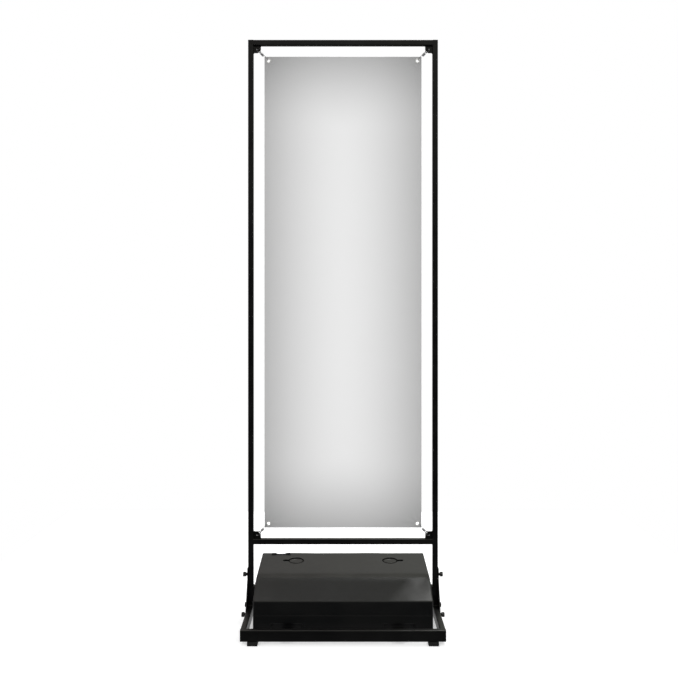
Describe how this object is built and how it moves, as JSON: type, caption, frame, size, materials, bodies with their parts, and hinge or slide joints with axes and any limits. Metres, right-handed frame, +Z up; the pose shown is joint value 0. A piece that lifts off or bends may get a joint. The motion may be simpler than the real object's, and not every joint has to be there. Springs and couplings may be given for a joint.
{
  "type": "banner stand",
  "caption": "Free-standing banner stand: a tube frame stretches a tall banner by corner springs above a low base that carries a fillable ballast tank.",
  "frame": {"origin": "on the floor, under the middle of the stand", "axes": "+Z up, -Y towards the front, +X to the viewer's right"},
  "size_m": [0.763, 0.517, 2.207],
  "materials": {
    "powder_coat": "satin black powder coat",
    "tank_plastic": "moulded black, satin",
    "cap_plastic": "ribbed black",
    "knob_plastic": "fluted black",
    "foot_plastic": "grooved black",
    "plug_plastic": "black",
    "seal_rubber": "black",
    "zinc_steel": "bright zinc",
    "spring_steel": "grey wire",
    "eyelet_metal": "pressed nickel-plated",
    "banner_sheet": "matt printed sheet, soft grey fade"
  },
  "bodies": {
    "stand": {"left_post": "powder_coat", "right_post": "powder_coat", "top_bar": "powder_coat", "cross_bar": "powder_coat", "corner_bracket_top_left": "powder_coat", "corner_bracket_top_right": "powder_coat", "corner_bracket_bottom_left": "powder_coat", "corner_bracket_bottom_right": "powder_coat", "post_top_plugs": "plug_plastic", "post_foot_plugs": "plug_plastic", "rail_end_plugs": "plug_plastic", "corner_screws": "zinc_steel", "corner_rivet_nuts": "zinc_steel", "post_rivet_nuts": "zinc_steel", "rail_rivet_nuts": "zinc_steel", "foot_weld_nuts": "zinc_steel", "spring_top_left": "spring_steel", "spring_top_right": "spring_steel", "spring_bottom_left": "spring_steel", "spring_bottom_right": "spring_steel", "hook_rings": "spring_steel", "banner": "banner_sheet", "eyelets": "eyelet_metal", "base_front_rail": "powder_coat", "base_rear_rail": "powder_coat", "base_left_rail": "powder_coat", "base_right_rail": "powder_coat", "tank_support_left": "powder_coat", "tank_support_right": "powder_coat", "post_socket_left": "powder_coat", "post_socket_right": "powder_coat", "gusset_left": "powder_coat", "gusset_right": "powder_coat"},
    "tank": {"tank_shell": "tank_plastic"},
    "knob_stud_left_top": {"knob_stud_left_top": "zinc_steel"},
    "knob_left_top": {"knob_left_top": "knob_plastic"},
    "knob_stud_left_front": {"knob_stud_left_front": "zinc_steel"},
    "knob_left_front": {"knob_left_front": "knob_plastic"},
    "knob_stud_left_rear": {"knob_stud_left_rear": "zinc_steel"},
    "knob_left_rear": {"knob_left_rear": "knob_plastic"},
    "knob_stud_right_top": {"knob_stud_right_top": "zinc_steel"},
    "knob_right_top": {"knob_right_top": "knob_plastic"},
    "knob_stud_right_front": {"knob_stud_right_front": "zinc_steel"},
    "knob_right_front": {"knob_right_front": "knob_plastic"},
    "knob_stud_right_rear": {"knob_stud_right_rear": "zinc_steel"},
    "knob_right_rear": {"knob_right_rear": "knob_plastic"},
    "foot_stud_front_left": {"foot_stud_front_left": "zinc_steel"},
    "foot_pad_front_left": {"foot_pad_front_left": "foot_plastic"},
    "foot_stud_front_right": {"foot_stud_front_right": "zinc_steel"},
    "foot_pad_front_right": {"foot_pad_front_right": "foot_plastic"},
    "foot_stud_rear_left": {"foot_stud_rear_left": "zinc_steel"},
    "foot_pad_rear_left": {"foot_pad_rear_left": "foot_plastic"},
    "foot_stud_rear_right": {"foot_stud_rear_right": "zinc_steel"},
    "foot_pad_rear_right": {"foot_pad_rear_right": "foot_plastic"},
    "cap_seal_left": {"cap_seal_left": "seal_rubber"},
    "tank_cap_left": {"tank_cap_left": "cap_plastic"},
    "cap_seal_right": {"cap_seal_right": "seal_rubber"},
    "tank_cap_right": {"tank_cap_right": "cap_plastic"}
  },
  "joints": [
    {"name": "tank_lift", "type": "slide", "parent": "stand", "child": "tank", "axis": [0, 0, 1], "range_m": [0, 0.1]},
    {"name": "knob_left_top_travel", "type": "slide", "parent": "stand", "child": "knob_stud_left_top", "axis": [-1, 0, 0], "range_m": [0, 0.015]},
    {"name": "knob_left_top_turn", "type": "hinge", "parent": "knob_stud_left_top", "child": "knob_left_top", "pos_m": [-0.365, 0, 0.167], "axis": [-1, 0, 0], "range_deg": [0, 4320]},
    {"name": "knob_left_front_travel", "type": "slide", "parent": "stand", "child": "knob_stud_left_front", "axis": [-1, 0, 0], "range_m": [0, 0.015]},
    {"name": "knob_left_front_turn", "type": "hinge", "parent": "knob_stud_left_front", "child": "knob_left_front", "pos_m": [-0.365, -0.05, 0.032], "axis": [-1, 0, 0], "range_deg": [0, 4320]},
    {"name": "knob_left_rear_travel", "type": "slide", "parent": "stand", "child": "knob_stud_left_rear", "axis": [-1, 0, 0], "range_m": [0, 0.015]},
    {"name": "knob_left_rear_turn", "type": "hinge", "parent": "knob_stud_left_rear", "child": "knob_left_rear", "pos_m": [-0.365, 0.05, 0.032], "axis": [-1, 0, 0], "range_deg": [0, 4320]},
    {"name": "knob_right_top_travel", "type": "slide", "parent": "stand", "child": "knob_stud_right_top", "axis": [1, 0, 0], "range_m": [0, 0.015]},
    {"name": "knob_right_top_turn", "type": "hinge", "parent": "knob_stud_right_top", "child": "knob_right_top", "pos_m": [0.365, 0, 0.167], "axis": [1, 0, 0], "range_deg": [0, 4320]},
    {"name": "knob_right_front_travel", "type": "slide", "parent": "stand", "child": "knob_stud_right_front", "axis": [1, 0, 0], "range_m": [0, 0.015]},
    {"name": "knob_right_front_turn", "type": "hinge", "parent": "knob_stud_right_front", "child": "knob_right_front", "pos_m": [0.365, -0.05, 0.032], "axis": [1, 0, 0], "range_deg": [0, 4320]},
    {"name": "knob_right_rear_travel", "type": "slide", "parent": "stand", "child": "knob_stud_right_rear", "axis": [1, 0, 0], "range_m": [0, 0.015]},
    {"name": "knob_right_rear_turn", "type": "hinge", "parent": "knob_stud_right_rear", "child": "knob_right_rear", "pos_m": [0.365, 0.05, 0.032], "axis": [1, 0, 0], "range_deg": [0, 4320]},
    {"name": "foot_front_left_travel", "type": "slide", "parent": "stand", "child": "foot_stud_front_left", "axis": [0, 0, -1], "range_m": [0, 0.012]},
    {"name": "foot_front_left_turn", "type": "hinge", "parent": "foot_stud_front_left", "child": "foot_pad_front_left", "pos_m": [-0.318, -0.24, 0], "axis": [0, 0, -1], "range_deg": [0, 2880]},
    {"name": "foot_front_right_travel", "type": "slide", "parent": "stand", "child": "foot_stud_front_right", "axis": [0, 0, -1], "range_m": [0, 0.012]},
    {"name": "foot_front_right_turn", "type": "hinge", "parent": "foot_stud_front_right", "child": "foot_pad_front_right", "pos_m": [0.318, -0.24, 0], "axis": [0, 0, -1], "range_deg": [0, 2880]},
    {"name": "foot_rear_left_travel", "type": "slide", "parent": "stand", "child": "foot_stud_rear_left", "axis": [0, 0, -1], "range_m": [0, 0.012]},
    {"name": "foot_rear_left_turn", "type": "hinge", "parent": "foot_stud_rear_left", "child": "foot_pad_rear_left", "pos_m": [-0.318, 0.24, 0], "axis": [0, 0, -1], "range_deg": [0, 2880]},
    {"name": "foot_rear_right_travel", "type": "slide", "parent": "stand", "child": "foot_stud_rear_right", "axis": [0, 0, -1], "range_m": [0, 0.012]},
    {"name": "foot_rear_right_turn", "type": "hinge", "parent": "foot_stud_rear_right", "child": "foot_pad_rear_right", "pos_m": [0.318, 0.24, 0], "axis": [0, 0, -1], "range_deg": [0, 2880]},
    {"name": "cap_left_rise", "type": "slide", "parent": "tank", "child": "cap_seal_left", "axis": [0, 0, 1], "range_m": [0, 0.006]},
    {"name": "cap_left_turn", "type": "hinge", "parent": "cap_seal_left", "child": "tank_cap_left", "pos_m": [-0.185, 0.096, 0.17799], "axis": [0, 0, 1], "range_deg": [0, 540]},
    {"name": "cap_right_rise", "type": "slide", "parent": "tank", "child": "cap_seal_right", "axis": [0, 0, 1], "range_m": [0, 0.006]},
    {"name": "cap_right_turn", "type": "hinge", "parent": "cap_seal_right", "child": "tank_cap_right", "pos_m": [0.185, 0.096, 0.17799], "axis": [0, 0, 1], "range_deg": [0, 540]}
  ],
  "couplings": [
    {"joint": "knob_left_top_turn", "follows": "knob_left_top_travel", "rad_per_m": 5026.5},
    {"joint": "knob_left_front_turn", "follows": "knob_left_front_travel", "rad_per_m": 5026.5},
    {"joint": "knob_left_rear_turn", "follows": "knob_left_rear_travel", "rad_per_m": 5026.5},
    {"joint": "knob_right_top_turn", "follows": "knob_right_top_travel", "rad_per_m": 5026.5},
    {"joint": "knob_right_front_turn", "follows": "knob_right_front_travel", "rad_per_m": 5026.5},
    {"joint": "knob_right_rear_turn", "follows": "knob_right_rear_travel", "rad_per_m": 5026.5},
    {"joint": "foot_front_left_travel", "follows": "foot_front_left_turn", "m_per_rad": 0.00023873},
    {"joint": "foot_front_right_travel", "follows": "foot_front_right_turn", "m_per_rad": 0.00023873},
    {"joint": "foot_rear_left_travel", "follows": "foot_rear_left_turn", "m_per_rad": 0.00023873},
    {"joint": "foot_rear_right_travel", "follows": "foot_rear_right_turn", "m_per_rad": 0.00023873},
    {"joint": "cap_left_rise", "follows": "cap_left_turn", "m_per_rad": 0.00063662},
    {"joint": "cap_right_rise", "follows": "cap_right_turn", "m_per_rad": 0.00063662}
  ]
}
